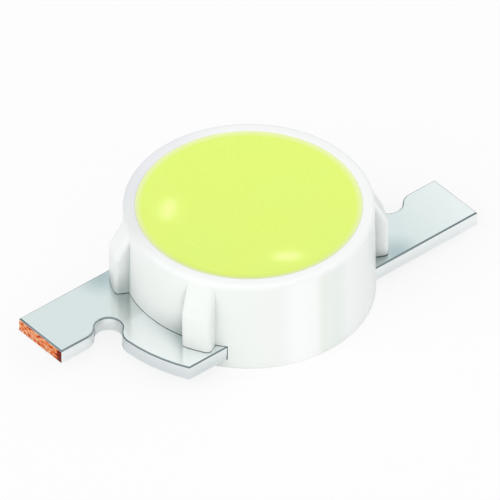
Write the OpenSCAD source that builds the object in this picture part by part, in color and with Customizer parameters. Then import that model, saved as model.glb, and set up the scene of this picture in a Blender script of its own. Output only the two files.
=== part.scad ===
// Round surface-mount white LED on a stamped lead frame.
// The origin is the centre of the base, +X runs along the leads and +Z is up.

/* [Housing] */
// Outside diameter of the moulded body at its base
body_d = 1.91; // [1.8:0.01:2.1]
// Height of the body from its base to its rim
body_h = 0.8; // [0.7:0.01:1.0]
// Draft of the outside wall, so that it leaves the mould
wall_draft = 0.9; // [0:0.1:2]
// Width of the flat rim round the mouth of the cup
rim_w = 0.088; // [0.06:0.002:0.12]
// Radius of the rim's outer edge
rim_edge_r = 0.02; // [0.005:0.005:0.04]
// Diameter of the reflector cup at its floor
cup_floor_d = 1.2; // [1.1:0.02:1.4]
// Thickness of plastic under the lead frame
base_skin = 0.082; // [0.06:0.002:0.12]
// Diameter of the shallow gate recess under the base
gate_d = 0.3; // [0.2:0.02:0.5]
// Depth of the gate recess
gate_depth = 0.02; // [0.01:0.005:0.04]

/* [Ribs] */
// Angle of each rib from the line of the leads
rib_angle = 27.6; // [24:0.2:31]
// Width of a rib
rib_w = 0.235; // [0.18:0.005:0.28]
// How far a rib stands out of the wall
rib_out = 0.1; // [0.06:0.005:0.13]
// Height of a rib's outer face above the leads
rib_face_h = 0.316; // [0.2:0.004:0.4]
// Distance from the rim down to the point where a rib's slope ends
rib_drop = 0.05; // [0.04:0.005:0.1]
// Radius of a rib's upright edges
rib_edge_r = 0.035; // [0.01:0.005:0.05]

/* [Lead frame] */
// Thickness of the lead frame
frame_t = 0.122; // [0.08:0.002:0.15]
// Distance over the ends of both leads
lead_span = 3.4; // [3.2:0.02:4.0]
// Width of the straight strip of a lead
lead_w = 0.494; // [0.4:0.002:0.54]
// Distance of the strip's centre line from the middle of the body
lead_offset = 0.39; // [0.34:0.002:0.42]
// Width of the flange that shows outside the wall
flange_w = 0.295; // [0.22:0.005:0.34]
// Metal left past a rib's foot at the cut end of the flange
flange_margin = 0.021; // [0:0.001:0.05]
// Radius of the relief notch between the strip and the flange
notch_r = 0.107; // [0.08:0.001:0.13]
// Distance of the notch's centre outside the corner that it relieves
notch_shift = 0.018; // [0:0.002:0.03]
// Radius of the blank's corners beside the notch
blank_edge_r = 0.15; // [0.05:0.005:0.16]
// Width of the slot that parts the two leads inside the body
slot_w = 0.14; // [0.1:0.01:0.16]
// Distance of the slot from the middle of the body
slot_x = 0.31; // [0.3:0.01:0.36]

/* [Chip] */
// Side of the square chip
chip_w = 0.36; // [0.2:0.01:0.38]
// Thickness of the chip
chip_h = 0.12; // [0.08:0.01:0.2]
// Thickness of the adhesive under the chip
attach_t = 0.012; // [0.006:0.002:0.03]
// How far the adhesive spreads past the chip
attach_rim = 0.02; // [0.01:0.002:0.02]
// Diameter of a bond pad on the chip
pad_d = 0.09; // [0.08:0.005:0.1]
// Thickness of a bond pad
pad_t = 0.004; // [0.002:0.001:0.01]
// Distance of a bond pad's centre from the chip's edges
pad_inset = 0.07; // [0.06:0.005:0.09]

/* [Bond wires] */
// Diameter of the gold wire
wire_d = 0.025; // [0.018:0.001:0.038]
// Diameter of the ball bond on the chip
ball_d = 0.07; // [0.05:0.002:0.075]
// Height of the ball bond
ball_h = 0.02; // [0.012:0.002:0.03]
// Rise of the wire's loop above the chip
loop_h = 0.11; // [0.06:0.01:0.2]
// Radius of the wire's bend at the top of its loop
bend_r = 0.04; // [0.02:0.005:0.05]
// Diameter of the flattened stitch on the lead
stitch_d = 0.055; // [0.04:0.005:0.08]
// Thickness of the flattened stitch
stitch_t = 0.012; // [0.006:0.001:0.016]
// Distance of both stitches from the line of the leads
stitch_y = 0.12; // [0:0.01:0.2]

/* [Casting] */
// Gap between the edge of the phosphor casting and the rim
fill_drop = 0.004; // [0:0.001:0.03]
// Dish of the casting's surface at its middle
fill_dish = 0.012; // [0:0.001:0.03]

/* [Hidden] */
$fn = 96;
arc_step = 6;
wire_sides = 24;
// The bend is drawn a hair thicker than the wire, so that the straight stretches end inside it
bend_swell = 0.001;
wire_lap = 0.004;
over = 0.05;
body_r = body_d / 2;
lead_top = base_skin + frame_t;
cup_floor_r = cup_floor_d / 2;
rim_r = body_r - body_h * tan(wall_draft);
cup_rim_r = rim_r - rim_w;
rib_r = body_r + rib_out;
rib_apex_z = body_h - rib_drop;
rib_face_z = lead_top + rib_face_h;
rib_root_r = wall_r(rib_apex_z) - 0.015;
flange_r = body_r + flange_w;
flange_cut = rib_r * sin(rib_angle + asin(rib_w / 2 / rib_r)) + flange_margin;
lead_end = lead_span / 2;
lead_in_y = lead_offset - lead_w / 2;
lead_out_y = lead_offset + lead_w / 2;
notch_at = [-sqrt(pow(flange_r, 2) - pow(lead_in_y, 2)), lead_in_y] - notch_shift * [cos(45), sin(45)];
chip_z = lead_top + attach_t;
chip_top = chip_z + chip_h;
pad_at = chip_w / 2 - pad_inset;
bond_z = chip_top + pad_t;
cathode_stitch = [-(chip_w / 2 + attach_rim + cup_floor_r) / 2, -stitch_y];
anode_stitch = [(slot_x + slot_w / 2 + cup_floor_r) / 2, stitch_y];
fill_z = body_h - fill_drop;

// Radius of the drafted outside wall at a height
function wall_r(z) = body_r - z * tan(wall_draft);

// Radius of the cup's cone at a height
function cup_r(z) = cup_floor_r + (cup_rim_r - cup_floor_r) * (z - lead_top) / (body_h - lead_top);

// Height of the slope on top of a rib at a radius
function rib_top_z(r) =
    rib_face_z + (rib_r - r) * (rib_apex_z - rib_face_z) / (rib_r - wall_r(rib_apex_z));

// Points along an arc, in steps of about arc_step degrees
function arc(at, r, from, to) =
    let (n = max(2, ceil(abs(to - from) / arc_step)))
    [for (i = [0:n]) at + r * [cos(from + (to - from) * i / n), sin(from + (to - from) * i / n)]];

// Direction from one point to another, in degrees
function toward(a, b) = atan2(b.y - a.y, b.x - a.x);

// Outline of the lead on the -X side, as blanked, which ends at inner_x inside the body
function lead_outline(inner_x) =
    let (
        reach = notch_r + blank_edge_r,
        strip_y = lead_in_y + blank_edge_r,
        strip_edge = [notch_at.x - sqrt(pow(reach, 2) - pow(strip_y - notch_at.y, 2)), strip_y],
        inset_r = flange_r - blank_edge_r,
        dist = norm(notch_at),
        along = (pow(inset_r, 2) - pow(reach, 2) + pow(dist, 2)) / (2 * dist),
        side = sqrt(pow(inset_r, 2) - pow(along, 2)),
        out = notch_at / dist,
        flange_edge = along * out + side * [-out.y, out.x],
        flange_from = 360 + atan2(flange_edge.y, flange_edge.x),
        flange_to = 180 + asin(flange_cut / flange_r)
    )
    concat(
        [[inner_x, lead_out_y], [-lead_end, lead_out_y], [-lead_end, lead_in_y]],
        arc(strip_edge, blank_edge_r, -90, toward(strip_edge, notch_at)),
        arc(notch_at, notch_r, toward(notch_at, strip_edge), toward(notch_at, flange_edge)),
        arc(flange_edge, blank_edge_r, toward(flange_edge, notch_at), flange_from),
        arc([0, 0], flange_r, flange_from, flange_to),
        [[inner_x, -flange_cut]]
    );

// Outline of a rib that points along +X, with rounded outer edges
function rib_outline() =
    let (
        half = rib_w / 2 - rib_edge_r,
        turn = asin(half / (rib_r - rib_edge_r)),
        x = (rib_r - rib_edge_r) * cos(turn)
    )
    concat(
        [[rib_root_r, -rib_w / 2]],
        arc([x, -half], rib_edge_r, -90, -turn),
        arc([0, 0], rib_r, -turn, turn),
        arc([x, half], rib_edge_r, turn, 90),
        [[rib_root_r, rib_w / 2]]
    );

module body_shell() {
    edge_at = [wall_r(body_h - rim_edge_r) - rim_edge_r / cos(wall_draft), body_h - rim_edge_r];
    rotate_extrude()
        polygon(concat([[0, 0], [body_r, 0]], arc(edge_at, rim_edge_r, wall_draft, 90), [[0, body_h]]));
}

module cup_space(top) {
    rotate_extrude()
        polygon([[0, lead_top], [cup_floor_r, lead_top], [cup_r(top), top], [0, top]]);
}

module rib() {
    intersection() {
        translate([0, 0, lead_top])
            linear_extrude(body_h - lead_top)
                polygon(rib_outline());
        rotate_extrude()
            polygon([
                [rib_root_r - over, lead_top - over],
                [rib_r + over, lead_top - over],
                [rib_r + over, rib_top_z(rib_r + over)],
                [rib_root_r, rib_top_z(rib_root_r)],
                [rib_root_r - over, rib_top_z(rib_root_r)]
            ]);
    }
}

module lead_blank(inner_x) {
    translate([0, 0, base_skin])
        linear_extrude(frame_t)
            polygon(lead_outline(inner_x));
}

module cathode_blank() {
    lead_blank(slot_x - slot_w / 2);
}

module anode_blank() {
    rotate([0, 0, 180])
        lead_blank(-slot_x - slot_w / 2);
}

module reflector_housing() {
    color("ghostwhite")
        difference() {
            union() {
                body_shell();
                for (end = [0, 180], side = [-1, 1])
                    rotate([0, 0, end + side * rib_angle])
                        rib();
            }
            cup_space(body_h + over);
            cathode_blank();
            anode_blank();
            translate([0, 0, -over])
                cylinder(d = gate_d, h = over + gate_depth);
        }
}

module cathode_lead() {
    color("lightsteelblue")
        cathode_blank();
}

module anode_lead() {
    color("lightsteelblue")
        anode_blank();
}

module die_attach() {
    side = chip_w + 2 * attach_rim;
    color("silver")
        translate([-side / 2, -side / 2, lead_top])
            cube([side, side, attach_t]);
}

module led_chip() {
    color("powderblue")
        union() {
            translate([-chip_w / 2, -chip_w / 2, chip_z])
                cube([chip_w, chip_w, chip_h]);
            for (side = [-1, 1])
                translate([side * pad_at, side * pad_at, chip_top])
                    cylinder(d = pad_d, h = pad_t);
        }
}

// Wire from a ball on a bond pad to a stitch on a lead: up, round one bend and straight down
module bond_wire(ball_at, stitch_at) {
    run = norm(stitch_at - ball_at);
    bend_at = [bend_r, chip_top + loop_h - bend_r];
    end_at = [run, lead_top + wire_d / 2];
    reach = norm(end_at - bend_at);
    fall = 90 - toward(bend_at, end_at) - acos(bend_r / reach);
    slope = sqrt(pow(reach, 2) - pow(bend_r, 2));
    neck_z = bond_z + ball_h / 2;
    translate([ball_at.x, ball_at.y, 0])
        rotate([0, 0, toward(ball_at, stitch_at)])
            union() {
                translate([0, 0, bond_z])
                    cylinder(d = ball_d, h = ball_h);
                translate([0, 0, neck_z])
                    cylinder(d = wire_d, h = bend_at.y - neck_z + wire_lap, $fn = wire_sides);
                translate([bend_at.x, 0, bend_at.y])
                    rotate([90, 0, 180])
                        rotate_extrude(angle = 90 + fall)
                            translate([bend_r, 0])
                                circle(d = wire_d + bend_swell, $fn = wire_sides);
                translate([end_at.x, 0, end_at.y])
                    rotate([0, fall - 90, 0])
                        cylinder(d = wire_d, h = slope + wire_lap, $fn = wire_sides);
                translate([run, 0, lead_top])
                    cylinder(d = stitch_d, h = stitch_t);
            }
}

module cathode_bond_wire() {
    color("gold")
        bond_wire([-pad_at, -pad_at], cathode_stitch);
}

module anode_bond_wire() {
    color("gold")
        bond_wire([pad_at, pad_at], anode_stitch);
}

module phosphor_casting() {
    dish_rings = 8;
    color("greenyellow")
        difference() {
            rotate_extrude()
                polygon(concat(
                    [[0, lead_top], [cup_floor_r, lead_top]],
                    [for (i = [0:dish_rings])
                        let (share = 1 - i / dish_rings)
                        [cup_r(fill_z) * share, fill_z - fill_dish * (1 - pow(share, 2))]]
                ));
            die_attach();
            led_chip();
            cathode_bond_wire();
            anode_bond_wire();
        }
}

reflector_housing();
cathode_lead();
anode_lead();
die_attach();
led_chip();
cathode_bond_wire();
anode_bond_wire();
phosphor_casting();
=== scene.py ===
import math

import bmesh
import bpy
from mathutils import Matrix, Vector


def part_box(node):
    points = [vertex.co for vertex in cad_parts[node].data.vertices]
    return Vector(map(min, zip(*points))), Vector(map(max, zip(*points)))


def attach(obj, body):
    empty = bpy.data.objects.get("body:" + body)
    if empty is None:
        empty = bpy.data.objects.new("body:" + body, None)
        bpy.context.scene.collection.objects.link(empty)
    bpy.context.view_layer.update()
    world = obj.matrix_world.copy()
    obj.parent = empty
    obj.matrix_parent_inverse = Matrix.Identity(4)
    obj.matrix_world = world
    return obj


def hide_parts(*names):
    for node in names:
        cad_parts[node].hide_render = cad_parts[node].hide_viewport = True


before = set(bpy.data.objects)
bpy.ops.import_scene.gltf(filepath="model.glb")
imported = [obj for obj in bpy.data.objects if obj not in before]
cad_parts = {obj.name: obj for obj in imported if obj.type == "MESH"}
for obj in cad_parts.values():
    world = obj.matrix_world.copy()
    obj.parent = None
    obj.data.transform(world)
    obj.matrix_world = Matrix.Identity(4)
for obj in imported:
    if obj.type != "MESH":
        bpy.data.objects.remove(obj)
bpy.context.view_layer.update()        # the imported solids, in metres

scene = bpy.context.scene
zAxis = Vector((0, 0, 1))
mm = 0.001               # the dictionaries below give their sizes in millimetres
same = 1e-7              # metres; two places closer than this are one place
weld = 1e-8              # metres; points closer than this are merged
hair = 1e-9              # metres; slack of the cutting planes and of the last merge
loose = 2e-6             # metres; slack for finding the points on a ring or on an end
crisp = 35               # degrees; edges sharper than this stay crisp


def hexColour(code):
    channels = [int(code[i:i + 2], 16) / 255 for i in (0, 2, 4)]  # sRGB, turned to linear
    return (*[c / 12.92 if c <= 0.04045 else ((c + 0.055) / 1.055) ** 2.4 for c in channels], 1.0)


def perMetre(size):
    return 1 / (size * mm)  # scale of a pattern whose features are size millimetres across


def polar(radius, angle, z=0.0):
    return Vector((radius * math.cos(angle), radius * math.sin(angle), z))


def addNode(tree, kind, inputs=None, **settings):
    node = tree.nodes.new(kind)
    for key, value in settings.items():
        setattr(node, key, value)
    for key, value in (inputs or {}).items():
        if isinstance(value, bpy.types.NodeSocket):
            tree.links.new(value, node.inputs[key])
        else:
            node.inputs[key].default_value = value
    return node


def mixColour(tree, factor, first, second):
    node = addNode(tree, "ShaderNodeMix", {0: factor, 6: first, 7: second}, data_type="RGBA")
    return node.outputs[2]


def mixTones(tree, factor, codes):
    first, second = codes
    return mixColour(tree, factor, hexColour(first), hexColour(second))


def fade(tree, value, start, end, low=0.0, high=1.0, curve="LINEAR"):
    node = addNode(tree, "ShaderNodeMapRange", {
        "Value": value, "From Min": start, "From Max": end, "To Min": low, "To Max": high},
        interpolation_type=curve)
    return node.outputs["Result"]


def product(tree, first, second):
    return addNode(tree, "ShaderNodeMath", {0: first, 1: second}, operation="MULTIPLY").outputs[0]


def toneRamp(tree, factor, stops, curve="LINEAR"):
    node = addNode(tree, "ShaderNodeValToRGB", {"Fac": factor})
    ramp = node.color_ramp
    ramp.interpolation = curve
    colours = [(position, hexColour(tone) if isinstance(tone, str) else (tone, tone, tone, 1))
               for position, tone in stops]      # a tone is a colour code or a share of white
    first, *between, last = colours
    for stop, (position, colour) in zip(ramp.elements, (first, last)):
        stop.position, stop.color = position, colour
    for position, colour in between:
        ramp.elements.new(position).color = colour
    return node.outputs["Color"]


def bumpNormal(tree, height, strength, depth):  # depth in millimetres
    node = addNode(tree, "ShaderNodeBump", {
        "Height": height, "Strength": strength, "Distance": depth * mm})
    return node.outputs["Normal"]


def newMaterial(name):
    material = bpy.data.materials.new(name)
    material.use_nodes = True
    material.node_tree.nodes.clear()
    return material, material.node_tree


def finishMaterial(material, shader):
    tree = material.node_tree
    addNode(tree, "ShaderNodeOutputMaterial", {"Surface": shader.outputs[0]})
    return material


def finishPiece(name, bm, materials, sharpAngle=crisp):
    bmesh.ops.remove_doubles(bm, verts=bm.verts, dist=hair)
    bmesh.ops.recalc_face_normals(bm, faces=bm.faces)
    mesh = bpy.data.meshes.new(name)
    bm.to_mesh(mesh)
    bm.free()
    for material in materials:
        mesh.materials.append(material)
    mesh.shade_smooth()
    mesh.set_sharp_from_angle(angle=math.radians(sharpAngle))
    piece = bpy.data.objects.new(name, mesh)
    scene.collection.objects.link(piece)
    flatten = piece.modifiers.new("even shading", "WEIGHTED_NORMAL")  # keeps flat faces flat
    flatten.keep_sharp = True
    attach(piece, "root")
    print("made", name, "with", len(mesh.polygons), "faces")
    return piece


mouldLook = {
    "halfTurnPaintedLight": (     # painted bands of light and shade round the wall, by share of half a turn, and the same on the other half
        (0.0, "f4f7f4"), (0.16, "f2f6f2"), (0.20, "eff4f0"), (0.34, "f2f5f2"), (0.41, "fcfdfd"),
        (0.45, "fbfcfb"), (0.48, "eff3ed"), (0.52, "ecf3ef"), (0.57, "f4f7f5"), (0.64, "f1f4f3"),
        (1.0, "f4f7f4")),
    "rimPaintedShade": (          # painted shade on one side of the rim, by share of the whole turn
        (0.0, "f5f8f7"), (0.10, "f8fbfa"), (0.66, "f8faf9"), (0.76, "f0f0f4"), (0.86, "e8eaed"),
        (0.93, "eaeceb"), (1.0, "f3f6f5")),
    "paintedCornerShadeShares": (      # how much painted shade an inner corner gets, by share of half a turn
        (0.0, 0.22), (0.05, 0.42), (0.10, 0.85), (0.115, 0.95), (0.125, 0.1), (0.79, 0.05),
        (0.807, 0.7), (0.886, 0.65), (0.90, 0.08), (1.0, 0.22)),
    # colour of the painted shade in the inner corners
    "paintedCornerShadeTone": "8f9f9c",
    "paintedCornerShadeReach": 0.28,
    "paintedCornerShadeOpenness": (0.40, 0.92),  # full painted shade below the first, none above the second
    "paintedCornerShadeFrom": (0.10, 0.22),     # heights over which the painted shade comes in
    "rimFrom": (0.74, 0.79),         # heights over which the rim's painted shade takes over
    "grain": 0.015,
    "bump": (0.05, 0.002),           # strength and depth
    "cloud": 0.3,
    "roughness": (0.2, 0.3),
}


# White moulding compound, a polyamide full of titanium dioxide, injection moulded in a polished
# cavity: a milky white with a soft gloss, with painted shade in its inner corners, painted bands of
# light and shade round the wall, and painted shade on one side of the rim
def mouldedWhite():
    look = mouldLook
    material, tree = newMaterial("moulded white polyamide")
    place = addNode(tree, "ShaderNodeTexCoord").outputs["Object"]
    height = addNode(tree, "ShaderNodeSeparateXYZ", {"Vector": place}).outputs["Z"]
    turn = addNode(tree, "ShaderNodeTexGradient", {"Vector": place}, gradient_type="RADIAL")
    twice = product(tree, turn.outputs["Fac"], 2.0)
    half = addNode(tree, "ShaderNodeMath", {0: twice}, operation="FRACT").outputs[0]
    # painted bands of light and shade round the wall, and painted shade on one side of the rim
    bands = toneRamp(tree, half, look["halfTurnPaintedLight"], "EASE")
    rim = toneRamp(tree, turn.outputs["Fac"], look["rimPaintedShade"], "EASE")
    rimLow, rimFull = look["rimFrom"]
    wall = mixColour(tree, fade(tree, height, rimLow * mm, rimFull * mm), bands, rim)
    # painted shade in the inner corners above the leads, deepest where the occlusion is
    openness = addNode(tree, "ShaderNodeAmbientOcclusion", {"Distance": look["paintedCornerShadeReach"] * mm},
                       samples=12)
    deep, clear = look["paintedCornerShadeOpenness"]
    paintedCornerShade = fade(tree, openness.outputs["AO"], deep, clear, 1.0, 0.0, "SMOOTHSTEP")
    cornerLow, cornerFull = look["paintedCornerShadeFrom"]
    overLeads = fade(tree, height, cornerLow * mm, cornerFull * mm)
    corners = product(tree, toneRamp(tree, half, look["paintedCornerShadeShares"]), overLeads)
    tint = mixColour(tree, product(tree, paintedCornerShade, corners), wall, hexColour(look["paintedCornerShadeTone"]))
    grain = addNode(tree, "ShaderNodeTexNoise", {
        "Vector": place, "Scale": perMetre(look["grain"]), "Detail": 2.0})
    cloud = addNode(tree, "ShaderNodeTexNoise", {
        "Vector": place, "Scale": perMetre(look["cloud"]), "Detail": 2.0})
    shader = addNode(tree, "ShaderNodeBsdfPrincipled", {
        "Base Color": tint, "Roughness": fade(tree, cloud.outputs["Fac"], 0, 1, *look["roughness"]),
        "IOR": 1.5, "Normal": bumpNormal(tree, grain.outputs["Fac"], *look["bump"])})
    return finishMaterial(material, shader)


plateLook = {
    "rollingLines": 0.025,
    "stretch": (0.06, 1.0, 1.0),     # scale along the strip, which draws the lines out
    "bump": (0.08, 0.001),           # strength and depth
    "haze": 0.3,
    "roughness": (0.08, 0.2),
    # a patch of painted shade beside the body
    "paintedShadeAt": (0.93, -0.60),        # by the wall, on the lead on the +X side
    "paintedShadeRadius": 0.26,
    "paintedShadeTone": "bfcbce",
    # painted light and shade of mirrored surroundings: flange, strip, tip and sides in tones of their
    # own
    "stripFrom": (-0.06, -0.13),     # across the lead, from the flange's tone to the strip's
    "tipFrom": (1.0, 1.8),           # along +X, from painted shade near the body to painted light at the tip
    "stripPaintedLightTones": ("e8edec", "fafafa"),
    "flangePaintedLightTone": "fbfeff",
    "sidePaintedLightAndShade": ("ecf0f1", "fdffff"),  # painted light and shade on the flange's sides and the strip's
    "topFrom": (0.180, 0.196),       # heights over which the sides' painted tones give way to the top's
    "edgeFrom": (0.190, 0.193),      # the rolled edge's painted dark reflection comes in
    "paintedEdgeLineUntil": (0.2036, 0.2028),   # and is gone at the first of these
    # colour of the painted dark reflection on the rolled edge
    "edgeTone": "a6b1b3",
}


# Bright silver plate over rolled copper alloy: nearly a mirror, with faint rolling lines along the
# strip; its tones hold painted reflections: a dark line on the rolled edge, painted shade beside
# the body, and painted light and shade that set flange, strip, tip and sides apart
def silverPlate():
    look = plateLook
    material, tree = newMaterial("bright silver plate")
    place = addNode(tree, "ShaderNodeTexCoord").outputs["Object"]
    split = addNode(tree, "ShaderNodeSeparateXYZ", {"Vector": place}).outputs
    side = addNode(tree, "ShaderNodeMath", {0: split["X"]}, operation="SIGN")
    turned = addNode(tree, "ShaderNodeVectorMath", {0: place, "Scale": side.outputs[0]},
                     operation="SCALE").outputs["Vector"]        # both leads laid on the +X side
    flat = addNode(tree, "ShaderNodeVectorMath", {0: turned, 1: (1.0, 1.0, 0.0)}, operation="MULTIPLY")
    x, y = look["paintedShadeAt"]
    # painted shade in a patch beside the body
    fromPatch = addNode(tree, "ShaderNodeVectorMath", {
        0: flat.outputs["Vector"], 1: (x * mm, y * mm, 0.0)}, operation="DISTANCE")
    patch = fade(tree, fromPatch.outputs["Value"], look["paintedShadeRadius"] * mm, 0.0, curve="SMOOTHSTEP")
    own = addNode(tree, "ShaderNodeSeparateXYZ", {"Vector": turned}).outputs

    def between(value, limits, curve="LINEAR"):
        start, end = look[limits]
        return fade(tree, value, start * mm, end * mm, curve=curve)

    # painted light and shade: flange, strip, tip and sides each get their own tone
    strip = between(own["Y"], "stripFrom", "SMOOTHSTEP")
    along = mixTones(tree, between(split["X"], "tipFrom", "SMOOTHSTEP"), look["stripPaintedLightTones"])
    whole = mixColour(tree, strip, hexColour(look["flangePaintedLightTone"]), along)
    top = mixColour(tree, patch, whole, hexColour(look["paintedShadeTone"]))
    sides = mixTones(tree, strip, look["sidePaintedLightAndShade"])
    faces = mixColour(tree, between(split["Z"], "topFrom"), sides, top)
    # painted dark reflection along the rolled edge
    rolled = product(tree, between(split["Z"], "edgeFrom"), between(split["Z"], "paintedEdgeLineUntil"))
    tint = mixColour(tree, rolled, faces, hexColour(look["edgeTone"]))
    haze = addNode(tree, "ShaderNodeTexNoise", {
        "Vector": place, "Scale": perMetre(look["haze"]), "Detail": 2.0})
    stretched = addNode(tree, "ShaderNodeMapping", {"Vector": place, "Scale": look["stretch"]})
    lines = addNode(tree, "ShaderNodeTexNoise", {
        "Vector": stretched.outputs["Vector"], "Scale": perMetre(look["rollingLines"]), "Detail": 3.0})
    shader = addNode(tree, "ShaderNodeBsdfPrincipled", {
        "Base Color": tint, "Metallic": 1.0,
        "Roughness": fade(tree, haze.outputs["Fac"], 0, 1, *look["roughness"]),
        "Normal": bumpNormal(tree, lines.outputs["Fac"], *look["bump"])})
    return finishMaterial(material, shader)


shearLook = {
    "fleck": 0.027,
    "stretch": (1.0, 0.7, 1.1),
    "bump": (0.2, 0.006),
    "tones": ((0.33, "7a1402"), (0.41, "cc4406"), (0.47, "ff7c22"), (0.60, "ffd9ae")),
    "darkerFrom": (0.24, 0.15),      # distances from the middle line of the part
    "darker": 0.2,
}


# Copper alloy bared by the shear that parted the leads: bright orange, torn into dark red flecks,
# and darker towards the inner corner of the strip's end
def shearedCopper():
    look = shearLook
    material, tree = newMaterial("sheared copper")
    place = addNode(tree, "ShaderNodeTexCoord").outputs["Object"]
    torn = addNode(tree, "ShaderNodeMapping", {"Vector": place, "Scale": look["stretch"]})
    flecks = addNode(tree, "ShaderNodeTexNoise", {
        "Vector": torn.outputs["Vector"], "Scale": perMetre(look["fleck"]), "Detail": 4.0,
        "Roughness": 0.75}).outputs["Fac"]
    across = addNode(tree, "ShaderNodeSeparateXYZ", {"Vector": place}).outputs["Y"]
    distance = addNode(tree, "ShaderNodeMath", {0: across}, operation="ABSOLUTE").outputs[0]
    outer, inner = look["darkerFrom"]
    corner = fade(tree, distance, outer * mm, inner * mm, 0.0, look["darker"])
    shade = addNode(tree, "ShaderNodeMath", {0: flecks, 1: corner}, operation="SUBTRACT").outputs[0]
    shader = addNode(tree, "ShaderNodeBsdfPrincipled", {
        "Base Color": toneRamp(tree, shade, look["tones"]), "Metallic": 1.0, "Roughness": 0.45,
        "Normal": bumpNormal(tree, flecks, *look["bump"])})
    return finishMaterial(material, shader)


fillLook = {
    "bodyTones": ("e8fb66", "e2fd6d"),
    "cloud": 0.6,
    "edgeFrom": (0.76, 0.85),        # radii of the paler edge
    "edgeShares": ((0.35, 0.0), (1.0, 0.75)),
    "edgeTone": "f2f6c4",
    "powder": 0.018,
    "speckle": (0.98, 1.015),        # brightness at a grain's middle and between the grains
    "speckleReach": 0.8,
    "bump": (0.02, 0.002),
}


# Silicone full of phosphor powder, cast and cured: opaque yellow-green under a clear glossy skin,
# finely speckled, and paler in a thin edge against the cup
def phosphorSilicone():
    look = fillLook
    material, tree = newMaterial("phosphor silicone")
    place = addNode(tree, "ShaderNodeTexCoord").outputs["Object"]
    cloud = addNode(tree, "ShaderNodeTexNoise", {
        "Vector": place, "Scale": perMetre(look["cloud"]), "Detail": 1.0})
    body = mixTones(tree, cloud.outputs["Fac"], look["bodyTones"])
    flat = addNode(tree, "ShaderNodeVectorMath", {0: place, 1: (1.0, 1.0, 0.0)}, operation="MULTIPLY")
    fromAxis = addNode(tree, "ShaderNodeVectorMath", {0: flat.outputs["Vector"]}, operation="LENGTH")
    inner, outer = look["edgeFrom"]
    nearWall = fade(tree, fromAxis.outputs["Value"], inner * mm, outer * mm)
    edge = toneRamp(tree, nearWall, look["edgeShares"], "EASE")
    edged = mixColour(tree, edge, body, hexColour(look["edgeTone"]))
    powder = addNode(tree, "ShaderNodeTexVoronoi", {
        "Vector": place, "Scale": perMetre(look["powder"])}).outputs["Distance"]
    speckle = fade(tree, powder, 0, look["speckleReach"], *look["speckle"])
    shade = addNode(tree, "ShaderNodeVectorMath", {0: edged, "Scale": speckle}, operation="SCALE")
    shader = addNode(tree, "ShaderNodeBsdfPrincipled", {
        "Base Color": shade.outputs["Vector"], "Roughness": 0.45, "IOR": 1.41,
        "Coat Weight": 1.0, "Coat Roughness": 0.055, "Coat IOR": 1.45,
        "Normal": bumpNormal(tree, powder, *look["bump"])})
    return finishMaterial(material, shader)


insideLook = {             # the pieces under the casting
    "sawGrain": 0.006,
    "sawBump": (0.2, 0.002),
    "sapphireTones": ("b9cfe0", "d8e6ef"),
    "flake": 0.006,
    "epoxyTones": ("c9c9c6", "9a9a97"),
    "wireCloud": 0.008,
    "goldTones": ("f2c15a", "ffd97a"),
}


# Sapphire chip, sawn at the sides and polished on top: pale blue, part clear, with a fine saw grain
def sawnSapphire():
    material, tree = newMaterial("sawn sapphire")
    place = addNode(tree, "ShaderNodeTexCoord").outputs["Object"]
    sawn = addNode(tree, "ShaderNodeTexNoise", {
        "Vector": place, "Scale": perMetre(insideLook["sawGrain"]), "Detail": 3.0}).outputs["Fac"]
    tint = mixTones(tree, sawn, insideLook["sapphireTones"])
    shader = addNode(tree, "ShaderNodeBsdfPrincipled", {
        "Base Color": tint, "Roughness": 0.12, "IOR": 1.77, "Transmission Weight": 0.4,
        "Normal": bumpNormal(tree, sawn, *insideLook["sawBump"])})
    return finishMaterial(material, shader)


# Epoxy full of silver flakes, cured: a dull grey paste with a fine glitter
def silverEpoxy():
    material, tree = newMaterial("silver epoxy")
    place = addNode(tree, "ShaderNodeTexCoord").outputs["Object"]
    flakes = addNode(tree, "ShaderNodeTexVoronoi", {
        "Vector": place, "Scale": perMetre(insideLook["flake"])})
    tint = mixTones(tree, flakes.outputs["Distance"], insideLook["epoxyTones"])
    shader = addNode(tree, "ShaderNodeBsdfPrincipled", {
        "Base Color": tint, "Metallic": 0.6, "Roughness": 0.5})
    return finishMaterial(material, shader)


# Drawn gold wire: bright yellow metal, faintly clouded in tone
def drawnGold():
    material, tree = newMaterial("drawn gold")
    place = addNode(tree, "ShaderNodeTexCoord").outputs["Object"]
    drawn = addNode(tree, "ShaderNodeTexNoise", {
        "Vector": place, "Scale": perMetre(insideLook["wireCloud"]), "Detail": 2.0})
    tint = mixTones(tree, drawn.outputs["Fac"], insideLook["goldTones"])
    shader = addNode(tree, "ShaderNodeBsdfPrincipled", {
        "Base Color": tint, "Metallic": 1.0, "Roughness": 0.2})
    return finishMaterial(material, shader)


moulding = mouldedWhite()
plating = silverPlate()
copper = shearedCopper()
phosphor = phosphorSilicone()
sapphire = sawnSapphire()
epoxy = silverEpoxy()
gold = drawnGold()
print("mixed the materials")

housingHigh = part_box("reflector_housing")[1]
leadLow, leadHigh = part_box("cathode_lead")
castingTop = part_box("phosphor_casting")[1].z
wallRadius = housingHigh.y
rimHeight = housingHigh.z
leadTop = leadHigh.z
leadBottom = leadLow.z
leadReach = -leadLow.x   # from the middle to the sheared end

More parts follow.
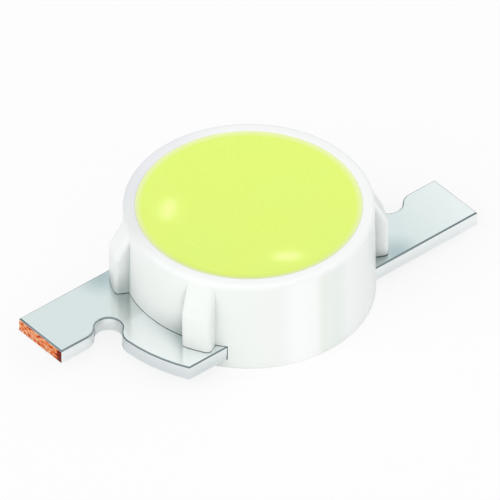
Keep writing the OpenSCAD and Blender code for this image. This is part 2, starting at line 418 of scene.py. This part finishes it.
housing = {
    "draft": 0.9,          # degrees
    "rimWidth": 0.088,
    "rimRounding": (0.022, 4),    # each rounding is a size and a number of segments
    "mouthRounding": (0.006, 3),
    "baseRounding": (0.012, 3),
    "cupFloor": 0.6,
    "gateRadius": 0.15,
    "gateDepth": 0.02,
    "pocketGap": 0.005,    # dark seam between the plastic and the leads
    "floorBelow": 0.003,   # cup floor under the lead tops
    "columns": 90,         # steps round the wall
    "wallBeyond": 0.9,     # the outer wall's faces lie beyond this radius, the cup's within it
    "ribAngle": 27.6,      # degrees from the line of the leads
    "ribWidth": 0.235,
    "ribOut": 0.1,
    "ribFaceHeight": 0.316,
    "ribDrop": 0.05,
    "ribRounding": (0.034, 4),
}


def wallAt(z):
    return wallRadius - z * math.tan(math.radians(housing["draft"]))


def spinSection(bm, section, steps):
    corners = [bm.verts.new((radius, 0, z)) for radius, z in section]
    edges = [bm.edges.new(pair) for pair in zip(corners, corners[1:])]
    bmesh.ops.spin(bm, geom=corners + edges, cent=(0, 0, 0), axis=zAxis, angle=2 * math.pi,
                   steps=steps, use_merge=True, dvec=(0, 0, 0))
    bmesh.ops.remove_doubles(bm, verts=bm.verts, dist=weld)
    bmesh.ops.recalc_face_normals(bm, faces=bm.faces)


def roundEdges(bm, edges, rounding):
    size, segments = rounding
    bmesh.ops.bevel(bm, geom=edges, offset=size * mm, segments=segments, profile=0.5,
                    affect="EDGES", material=-1, clamp_overlap=True)


def ringEdges(bm, radius, z):
    return [e for e in bm.edges
            if all(abs(v.co.z - z) < same and abs(v.co.xy.length - radius) < loose for v in e.verts)]


def raiseRib(bm, angle, faceTop, apex):
    along = polar(1, angle)
    across = polar(1, angle + math.pi / 2)
    half = housing["ribWidth"] * mm / 2
    outer = wallRadius + housing["ribOut"] * mm

    def onWall(face, reach):
        middle = face.calc_center_median()
        beside = middle.dot(along) > 0 and abs(middle.dot(across)) < reach
        outside = middle.xy.length > housing["wallBeyond"] * mm
        return beside and outside and leadTop < middle.z < apex

    for side in (-half, half):       # cut the wall along both sides of the rib
        near = [f for f in bm.faces if onWall(f, 2 * half)]
        geom = near + list({e for f in near for e in f.edges})
        geom += list({v for f in near for v in f.verts})
        bmesh.ops.bisect_plane(bm, geom=geom, dist=hair, plane_co=across * side, plane_no=across)
    foot = [f for f in bm.faces if onWall(f, half)]
    grown = bmesh.ops.extrude_face_region(bm, geom=foot)["geom"]
    for vert in [v for v in grown if isinstance(v, bmesh.types.BMVert)]:
        if vert.co.z < apex - same:  # the apex stays on the wall, so the slope dies out there
            offset = vert.co.dot(across)
            out = math.sqrt(outer ** 2 - offset ** 2)
            vert.co = across * offset + along * out + zAxis * vert.co.z
    bmesh.ops.delete(bm, geom=[f for f in foot if f.is_valid], context="FACES")
    bmesh.ops.remove_doubles(bm, verts=bm.verts, dist=weld)
    corners = [e for e in bm.edges if isRibCorner(e, along, across, half, outer, faceTop)]
    roundEdges(bm, corners, housing["ribRounding"])


def isRibCorner(edge, along, across, half, outer, faceTop):
    ends = [v.co for v in edge.verts]
    if any(co.dot(along) < 0.5 * wallRadius or abs(co.dot(across)) > half + same for co in ends):
        return False                 # not on this rib
    outside = [co.xy.length > outer - loose for co in ends]
    onSide = all(abs(abs(co.dot(across)) - half) < same for co in ends)
    upright = all(outside) and onSide
    slopeSide = any(outside) and onSide and max(co.z for co in ends) > faceTop + same
    shoulder = all(outside) and all(abs(co.z - faceTop) < same for co in ends)
    return upright or slopeSide or shoulder


def mouldHousing():
    bm = bmesh.new()
    faceTop = leadTop + housing["ribFaceHeight"] * mm
    apex = rimHeight - housing["ribDrop"] * mm
    rim = wallAt(rimHeight)
    mouth = rim - housing["rimWidth"] * mm
    gate = housing["gateRadius"] * mm
    depth = housing["gateDepth"] * mm
    floor = leadTop - housing["floorBelow"] * mm
    wall = [(wallAt(z), z) for z in (0, leadBottom, leadTop, faceTop, apex, rimHeight)]
    spinSection(bm, [(0, depth), (gate, depth), (gate, 0), *wall, (mouth, rimHeight),
                     (housing["cupFloor"] * mm, floor), (0, floor)], housing["columns"])
    ribAngle = math.radians(housing["ribAngle"])
    for angle in (ribAngle, -ribAngle, math.pi + ribAngle, math.pi - ribAngle):
        raiseRib(bm, angle, faceTop, apex)
    for radius, z, rounding in ((rim, rimHeight, "rimRounding"), (mouth, rimHeight, "mouthRounding"),
                                (wallRadius, 0, "baseRounding")):
        roundEdges(bm, ringEdges(bm, radius, z), housing[rounding])
    piece = finishPiece("moulded_housing", bm, [moulding])
    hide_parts("reflector_housing")
    return piece


lead = {
    "stripInner": 0.143,   # distance of the strip's inner edge from the middle line
    "stripOuter": 0.637,
    "flangeRadius": 1.25,
    "flangeCut": 0.611,    # distance of the flange's cut end from the middle line
    "notchRadius": 0.107,
    "notchShift": 0.018,
    "cornerRadius": 0.15,
    "cathodeEnd": 0.24,    # inner end of each blank, measured with the lead on the -X side
    "anodeEnd": -0.38,
    "rolledEdge": (0.013, 3),  # size and segments of the rounding that the punch leaves on top
    "burrEdge": (0.005, 2),
    "arcSteps": 12,        # per radian
}
blanks = (                 # name, solid, key of its inner end, turned half a turn
    ("cathode_blank", "cathode_lead", "cathodeEnd", False),
    ("anode_blank", "anode_lead", "anodeEnd", True),
)


def lineTo(bm, vert, x, y):
    end = bm.verts.new((x, y, leadBottom))
    bm.edges.new((vert, end))
    return end


def arcRound(bm, vert, centre, angle):
    steps = max(3, round(abs(angle) * lead["arcSteps"]))
    swept = bmesh.ops.spin(bm, geom=[vert], cent=(centre.x, centre.y, leadBottom), axis=zAxis,
                           angle=angle, steps=steps, use_duplicate=False, dvec=(0, 0, 0))
    return next(v for v in swept["geom_last"] if isinstance(v, bmesh.types.BMVert))


def heading(start, end):
    return math.atan2(end.y - start.y, end.x - start.x)


def drawBlank(innerEnd, turned):
    inner = innerEnd * mm
    stripInner = lead["stripInner"] * mm
    stripOuter = lead["stripOuter"] * mm
    flangeRadius = lead["flangeRadius"] * mm
    cut = lead["flangeCut"] * mm
    corner = lead["cornerRadius"] * mm
    shift = lead["notchShift"] * mm * math.sqrt(0.5)
    # the notch sits where the strip's inner edge meets the flange's circle, shifted a little outwards
    # and towards the middle line; each corner's arc touches the notch and the edge beside it
    middle = Vector((0, 0))
    notch = Vector((-math.sqrt(flangeRadius ** 2 - stripInner ** 2) - shift, stripInner - shift))
    reach = lead["notchRadius"] * mm + corner
    stripCorner = Vector((notch.x - math.sqrt(reach ** 2 - (stripInner + corner - notch.y) ** 2),
                          stripInner + corner))
    inset = flangeRadius - corner
    along = (inset ** 2 - reach ** 2 + notch.length ** 2) / (2 * notch.length)
    out = notch.normalized()
    flangeCorner = along * out + math.sqrt(inset ** 2 - along ** 2) * Vector((-out.y, out.x))
    flangeStart = 2 * math.pi + heading(middle, flangeCorner)
    flangeEnd = math.pi + math.asin(cut / flangeRadius)

    bm = bmesh.new()
    first = bm.verts.new((inner, stripOuter, leadBottom))
    vert = lineTo(bm, first, -leadReach, stripOuter)
    vert = lineTo(bm, vert, -leadReach, stripInner)
    vert = lineTo(bm, vert, stripCorner.x, stripInner)
    vert = arcRound(bm, vert, stripCorner, heading(stripCorner, notch) + math.pi / 2)
    vert = arcRound(bm, vert, notch, heading(notch, flangeCorner) - heading(notch, stripCorner))
    vert = arcRound(bm, vert, flangeCorner, flangeStart - heading(flangeCorner, notch))
    vert = arcRound(bm, vert, middle, flangeEnd - flangeStart)
    vert = lineTo(bm, vert, inner, -cut)
    bm.edges.new((vert, first))
    sheet = bmesh.ops.contextual_create(bm, geom=list(bm.edges))["faces"]
    raised = bmesh.ops.extrude_face_region(bm, geom=sheet)["geom"]
    bmesh.ops.translate(bm, vec=zAxis * (leadTop - leadBottom),
                        verts=[v for v in raised if isinstance(v, bmesh.types.BMVert)])
    bmesh.ops.recalc_face_normals(bm, faces=bm.faces)
    if turned:
        bmesh.ops.rotate(bm, verts=bm.verts, cent=(0, 0, 0), matrix=Matrix.Rotation(math.pi, 3, "Z"))
    return bm


def blankLead(name, node, innerEnd, turned):
    bm = drawBlank(innerEnd, turned)
    for height, rounding in ((leadTop, "rolledEdge"), (leadBottom, "burrEdge")):
        outline = [e for e in bm.edges if all(abs(v.co.z - height) < same for v in e.verts)]
        roundEdges(bm, outline, lead[rounding])
    for face in bm.faces:
        if abs(face.normal.x) > 0.99 and abs(face.calc_center_median().x) > leadReach - loose:
            face.material_index = 1          # the end left bare by the shear
    piece = finishPiece(name, bm, [plating, copper])
    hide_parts(node)


def carvePockets(piece):
    cutters = []
    for _, _, innerEnd, turned in blanks:
        bm = drawBlank(lead[innerEnd], turned)
        bm.normal_update()
        gap = housing["pocketGap"] * mm
        for vert, move in [(v, v.normal * v.calc_shell_factor() * gap) for v in bm.verts]:
            vert.co += move
        mesh = bpy.data.meshes.new("pocket")
        bm.to_mesh(mesh)
        bm.free()
        cutter = bpy.data.objects.new("pocket", mesh)
        scene.collection.objects.link(cutter)
        cutters.append(cutter)
        cut = piece.modifiers.new("pocket", "BOOLEAN")
        cut.operation = "DIFFERENCE"
        cut.object = cutter
        cut.solver = "MANIFOLD"              # leaves no open or doubled edges
    flatten = piece.modifiers[0]
    flatten.show_viewport = False            # only the cuts are baked in here
    bpy.context.view_layer.update()
    depsgraph = bpy.context.evaluated_depsgraph_get()
    carved = bpy.data.meshes.new_from_object(piece.evaluated_get(depsgraph))
    flatten.show_viewport = True
    for cut in list(piece.modifiers)[1:]:
        piece.modifiers.remove(cut)
    for cutter in cutters:
        bpy.data.objects.remove(cutter)
    carved.name = piece.name
    piece.data = carved
    carved.set_sharp_from_angle(angle=math.radians(crisp))
    print("carved the pockets for the leads")


casting = {
    "floorRadius": 0.597,
    "mouthRadius": 0.850,
    "dish": 0.03,
    "meniscus": 0.06,      # width of the upturned edge
    "climb": 0.006,
    "below": 0.001,        # edge under the top of the solid
    "aboveLeads": 0.002,
    "rings": 24,
    "columns": 96,
    "sharpAngle": 50,      # degrees
}


def pourCasting():
    bm = bmesh.new()
    top = castingTop - casting["below"] * mm
    mouth = casting["mouthRadius"] * mm
    floor = leadTop + casting["aboveLeads"] * mm
    section = [(0, floor), (casting["floorRadius"] * mm, floor)]
    for ring in range(casting["rings"] + 1):
        share = 1 - ring / casting["rings"]
        edge = max(0.0, 1 - (1 - share) * mouth / (casting["meniscus"] * mm))
        sag = casting["dish"] * (1 - share ** 2) + casting["climb"] * (1 - edge ** 3)
        section.append((mouth * share, top - sag * mm))
    spinSection(bm, section, casting["columns"])
    piece = finishPiece("cured_casting", bm, [phosphor], casting["sharpAngle"])
    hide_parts("phosphor_casting")


carvePockets(mouldHousing())
for name, node, innerEnd, turned in blanks:
    blankLead(name, node, lead[innerEnd], turned)
pourCasting()

for node, material in (("led_chip", sapphire), ("die_attach", epoxy),
                       ("cathode_bond_wire", gold), ("anode_bond_wire", gold)):
    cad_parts[node].data.materials.clear()
    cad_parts[node].data.materials.append(material)
print("dressed the hidden pieces")

view = {
    "azimuth": -40.07124,  # degrees
    "elevation": 40.59216,
    "frameWidth": 3.7333,
    "lens": 1600.0,
    "sensor": 36.0,
    "aimHeight": 0.204,
    "aimRight": 0.0087,
    "aimUp": 0.11206,
}


def viewAxes():
    azimuth = math.radians(view["azimuth"])
    elevation = math.radians(view["elevation"])
    right = polar(1, azimuth)
    back = polar(math.cos(elevation), azimuth - math.pi / 2, math.sin(elevation))
    return right, back, back.cross(right)


def aimCamera():
    right, back, up = viewAxes()
    data = bpy.data.cameras.new("camera")
    data.type = "PERSP"
    data.sensor_width = view["sensor"]
    data.lens = view["lens"]
    data.clip_start = 0.001
    data.clip_end = 10.0
    camera = bpy.data.objects.new("camera", data)
    scene.collection.objects.link(camera)
    aim = (zAxis * view["aimHeight"] + right * view["aimRight"] + up * view["aimUp"]) * mm
    distance = view["lens"] / view["sensor"] * view["frameWidth"] * mm
    camera.location = aim + back * distance
    camera.rotation_euler = Matrix((right, up, back)).transposed().to_euler()
    scene.camera = camera


floorLook = {
    "radius": 400,
    "below": 0.001,        # a hair under the base
    "fibres": 4,
    "tones": ("f6f6f6", "fafafa"),
    "glowSeen": 0.8,       # share of plain white glow that the camera sees
    "glowMirrored": 0.25,  # and that shiny faces mirror
    "glowTones": ("ffffff", "eaf0f1"),
}


# White paper: even and matt, with a plain glow of its own that keeps it pale
def whitePaper():
    look = floorLook
    material, tree = newMaterial("white paper floor")
    place = addNode(tree, "ShaderNodeTexCoord").outputs["Object"]
    fibres = addNode(tree, "ShaderNodeTexNoise", {
        "Vector": place, "Scale": perMetre(look["fibres"]), "Detail": 2.0})
    tint = mixTones(tree, fibres.outputs["Fac"], look["tones"])
    matte = addNode(tree, "ShaderNodeBsdfDiffuse", {"Color": tint})
    path = addNode(tree, "ShaderNodeLightPath")
    bright = mixTones(tree, path.outputs["Is Glossy Ray"], look["glowTones"])
    glow = addNode(tree, "ShaderNodeEmission", {"Color": bright, "Strength": 1.0})
    seen = product(tree, path.outputs["Is Camera Ray"], look["glowSeen"])
    share = addNode(tree, "ShaderNodeMath", {
        0: path.outputs["Is Glossy Ray"], 1: look["glowMirrored"], 2: seen}, operation="MULTIPLY_ADD")
    both = addNode(tree, "ShaderNodeMixShader", {
        0: share.outputs[0], 1: matte.outputs[0], 2: glow.outputs[0]})
    return finishMaterial(material, both)


def layFloor():
    bm = bmesh.new()
    bmesh.ops.create_circle(bm, cap_ends=True, segments=64, radius=floorLook["radius"] * mm,
                            matrix=Matrix.Translation((0, 0, -floorLook["below"] * mm)))
    mesh = bpy.data.meshes.new("floor")
    bm.to_mesh(mesh)
    bm.free()
    mesh.materials.append(whitePaper())
    floor = bpy.data.objects.new("floor", mesh)
    scene.collection.objects.link(floor)


studio = {
    "sideLight": 0.80,     # strength of the pale tent at the horizon and overhead
    "topLight": 0.71,
    "mirroredTones": (     # what shiny faces show of the tent, by height from horizon to top
        (0.22, "727e80"), (0.42, "98a3a5"), (0.56, "e4eeee"), (0.72, "f2f9f9"), (0.84, "dce5e6"),
        (1.0, "c2cccd")),
    "lampDistance": 60,
    "lamps": (             # name, direction, width, radiance
        ("soft_left", (-0.9, 0.05, 0.65), 60, 1.15),
        ("soft_front", (-0.1, -0.9, 0.7), 50, 0.7),
        ("soft_right", (0.9, -0.3, 0.7), 40, 0.8),
    ),
    "glintDistance": 400,
    "glints": (            # name, place on the casting to the right and away, lamp size, radiance
        ("glint_left", (-0.55, -0.03), (4, 16), 4),
        ("glint_front", (0.263, -0.55), (8, 6), 4),
    ),
}


def lightWorld():
    world = bpy.data.worlds.new("studio")
    scene.world = world
    world.use_nodes = True
    tree = world.node_tree
    tree.nodes.clear()
    path = addNode(tree, "ShaderNodeLightPath")
    toward = addNode(tree, "ShaderNodeTexCoord").outputs["Generated"]
    height = addNode(tree, "ShaderNodeSeparateXYZ", {"Vector": toward}).outputs["Z"]
    mirrored = toneRamp(tree, height, studio["mirroredTones"])
    tent = fade(tree, height, 0, 1, studio["sideLight"], studio["topLight"])
    tint = mixColour(tree, path.outputs["Is Glossy Ray"], tent, mirrored)
    shown = mixColour(tree, path.outputs["Is Camera Ray"], tint, (1, 1, 1, 1))
    sky = addNode(tree, "ShaderNodeBackground", {"Color": shown, "Strength": 1.0})
    addNode(tree, "ShaderNodeOutputWorld", {"Surface": sky.outputs[0]})


def hangLamp(name, direction, distance, width, length, radiance, mirrored):
    data = bpy.data.lights.new(name, "AREA")
    data.shape = "ELLIPSE"
    data.size = width * mm
    data.size_y = length * mm
    area = math.pi * width * length / 4 * mm * mm
    data.energy = radiance * math.pi * area
    lamp = bpy.data.objects.new(name, data)
    scene.collection.objects.link(lamp)
    lamp.location = direction * distance * mm
    lamp.rotation_euler = direction.to_track_quat("Z", "Y").to_euler()
    lamp.visible_camera = False
    lamp.visible_glossy = mirrored


def hangSoftLamps():
    for name, direction, width, radiance in studio["lamps"]:
        hangLamp(name, Vector(direction).normalized(), studio["lampDistance"], width, width, radiance,
                 False)


def hangGlints():
    # each small lamp stands where the casting's dish mirrors it to the camera from one place
    right, back, _ = viewAxes()
    away = zAxis.cross(right)
    slope = 2 * casting["dish"] / casting["mouthRadius"] ** 2
    for name, (sideways, deep), (width, length), radiance in studio["glints"]:
        normal = (zAxis - (right * sideways + away * deep) * slope).normalized()
        direction = 2 * normal.dot(back) * normal - back
        hangLamp(name, direction.normalized(), studio["glintDistance"], width, length, radiance, True)


aimCamera()
layFloor()
lightWorld()
hangSoftLamps()
hangGlints()
print("set the light and the camera")

scene.view_settings.view_transform = "Standard"
